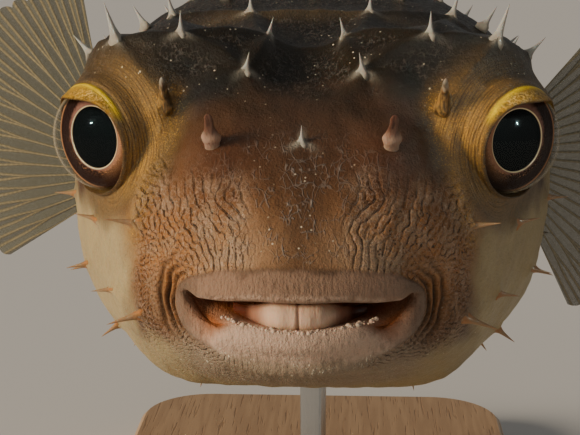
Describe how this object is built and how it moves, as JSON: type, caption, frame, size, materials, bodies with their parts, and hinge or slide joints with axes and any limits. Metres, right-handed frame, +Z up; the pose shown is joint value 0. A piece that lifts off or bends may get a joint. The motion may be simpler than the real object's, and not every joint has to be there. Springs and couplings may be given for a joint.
{
  "type": "porcupine pufferfish",
  "caption": "Life-size porcupine pufferfish model with a broad blunt face, large eyes, short fixed spines and fan-like fins, held level on rods over a flat base.",
  "frame": {"origin": "centre of the base's underside, on the surface it stands on", "axes": "+Z up, -Y towards the snout, +X towards the fish's own left side"},
  "size_m": [0.1384, 0.1999, 0.1185],
  "materials": {
    "skin": "moist, finely wrinkled skin, olive brown above, orange tan on the cheeks, cream below",
    "eye": "wet gloss, black pupil in a copper and mauve iris",
    "beak": "smooth pinkish ivory",
    "fin": "thin ribbed membrane, olive and translucent",
    "stand_wood": "satin oiled oak",
    "stand_steel": "brushed"
  },
  "bodies": {
    "root": {"head": "skin", "trunk": "skin", "tail_stalk": "skin", "eye_left": "eye", "eye_right": "eye", "nasal_tentacle_left": "skin", "nasal_tentacle_right": "skin", "beak_upper": "beak", "beak_lower": "beak", "pectoral_fin_left": "fin", "pectoral_fin_right": "fin", "dorsal_fin": "fin", "anal_fin": "fin", "tail_fin": "fin", "stand_base": "stand_wood", "stand_rod_front": "stand_steel", "stand_rod_rear": "stand_steel"}
  },
  "joints": []
}
